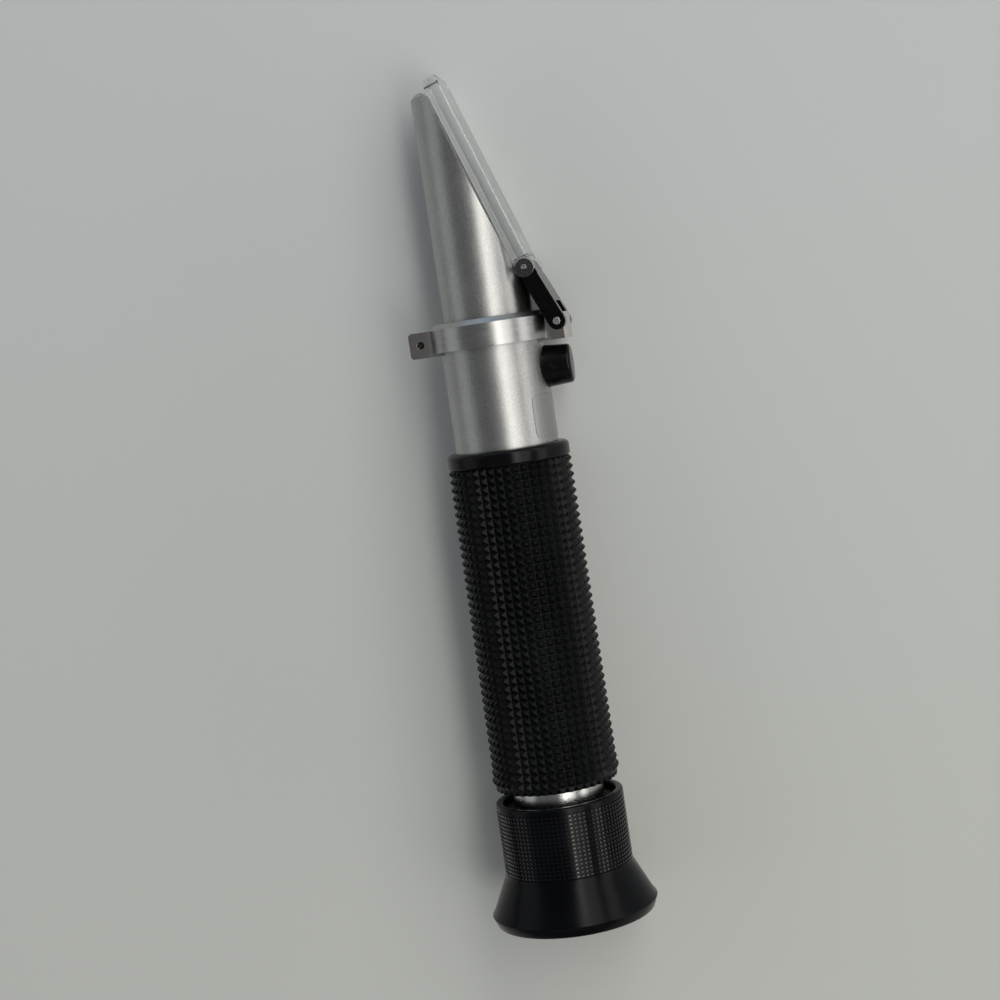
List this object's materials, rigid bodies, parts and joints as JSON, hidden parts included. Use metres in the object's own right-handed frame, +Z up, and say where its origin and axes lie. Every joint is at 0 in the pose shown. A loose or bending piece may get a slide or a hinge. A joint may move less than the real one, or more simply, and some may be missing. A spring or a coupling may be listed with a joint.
{
  "type": "handheld refractometer",
  "caption": "Hand-held salinity refractometer: prism housing with hinged clear daylight plate, clamp ring, rubber grip and focusing eyepiece with eyecup.",
  "frame": {"origin": "on the optical axis, midway along the bare barrel band between the calibration cap and the grip", "axes": "+X along the optical axis towards the prism, -Y towards the hinge of the daylight plate, +Z up with the instrument lying on its side"},
  "size_m": [0.185, 0.0368, 0.0368],
  "materials": {
    "anodised_tube": "satin anodised, fine bead-blast grain",
    "anodised_housing": "satin anodised, fine bead-blast grain",
    "prism_glass": "polished optical glass",
    "bedding_cement": "matt black cement",
    "turned_ring": "turned and lightly polished",
    "black_screw": "black oxide steel",
    "link_plastic": "glossy black moulded plastic",
    "steel_pin": "turned steel",
    "clear_plate": "clear acrylic with a frosted inner face",
    "brass_bush": "turned brass",
    "brass_screw": "turned brass",
    "cap_rubber": "smooth black rubber",
    "carriage_metal": "machined",
    "leaf_metal": "rolled bimetal strip",
    "lens_glass": "polished optical glass",
    "black_anodised": "matt black anodised",
    "reticle_glass": "polished glass with an etched scale",
    "grip_rubber": "satin black moulded rubber with square pyramids",
    "shell_plastic": "matt black hard plastic",
    "eyecup_rubber": "smooth soft black rubber with a fine square grid"
  },
  "bodies": {
    "instrument_body": {"main_tube": "anodised_tube", "prism_housing": "anodised_housing", "main_prism": "prism_glass", "prism_bedding": "bedding_cement", "clamp_ring": "turned_ring", "clamp_screw": "black_screw", "screw_bush": "brass_bush", "light_stop": "black_anodised", "reticle": "reticle_glass", "reticle_ring": "black_anodised", "grip_sleeve": "grip_rubber"},
    "link": {"hinge_link": "link_plastic", "link_pin": "steel_pin"},
    "cover": {"daylight_plate": "clear_plate", "plate_pin": "steel_pin"},
    "cap": {"screw_cap": "cap_rubber"},
    "adjuster": {"calibration_screw": "brass_screw"},
    "objective": {"lens_carriage": "carriage_metal", "objective_cell": "carriage_metal", "bimetal_leaf": "leaf_metal", "leaf_screws": "steel_pin", "objective_lens": "lens_glass", "objective_ring": "black_anodised"},
    "eyepiece_optics": {"lens_barrel": "shell_plastic", "eye_lens": "lens_glass", "lens_spacer": "black_anodised", "field_lens": "lens_glass", "lens_ring": "black_anodised"},
    "eyepiece": {"eyepiece_shell": "shell_plastic", "eyecup": "eyecup_rubber"}
  },
  "joints": [
    {"name": "link_hinge", "type": "hinge", "parent": "instrument_body", "child": "link", "pos_m": [0.0197, -0.01535, 0], "axis": [0, 0, -1], "range_deg": [0, 110]},
    {"name": "plate_hinge", "type": "hinge", "parent": "link", "child": "cover", "pos_m": [0.03197, -0.01004, 0], "axis": [0, 0, -1], "range_deg": [0, 90]},
    {"name": "cap_pull", "type": "slide", "parent": "instrument_body", "child": "cap", "axis": [0, -1, 0], "range_m": [0, 0.008]},
    {"name": "calibration_turn", "type": "hinge", "parent": "instrument_body", "child": "adjuster", "pos_m": [0.0104, -0.012, 0], "axis": [0, -1, 0], "range_deg": [-360, 360]},
    {"name": "objective_shift", "type": "slide", "parent": "instrument_body", "child": "objective", "axis": [0, 1, 0], "range_m": [-0.0005, 0.0005]},
    {"name": "focus_travel", "type": "slide", "parent": "instrument_body", "child": "eyepiece_optics", "axis": [-1, 0, 0], "range_m": [-0.002, 0.0025]},
    {"name": "focus_turn", "type": "hinge", "parent": "eyepiece_optics", "child": "eyepiece", "pos_m": [-0.1, 0, 0], "axis": [-1, 0, 0], "range_deg": [-240, 300]}
  ],
  "couplings": [
    {"joint": "calibration_turn", "follows": "objective_shift", "rad_per_m": 12566},
    {"joint": "focus_travel", "follows": "focus_turn", "m_per_rad": 0.00047746}
  ]
}
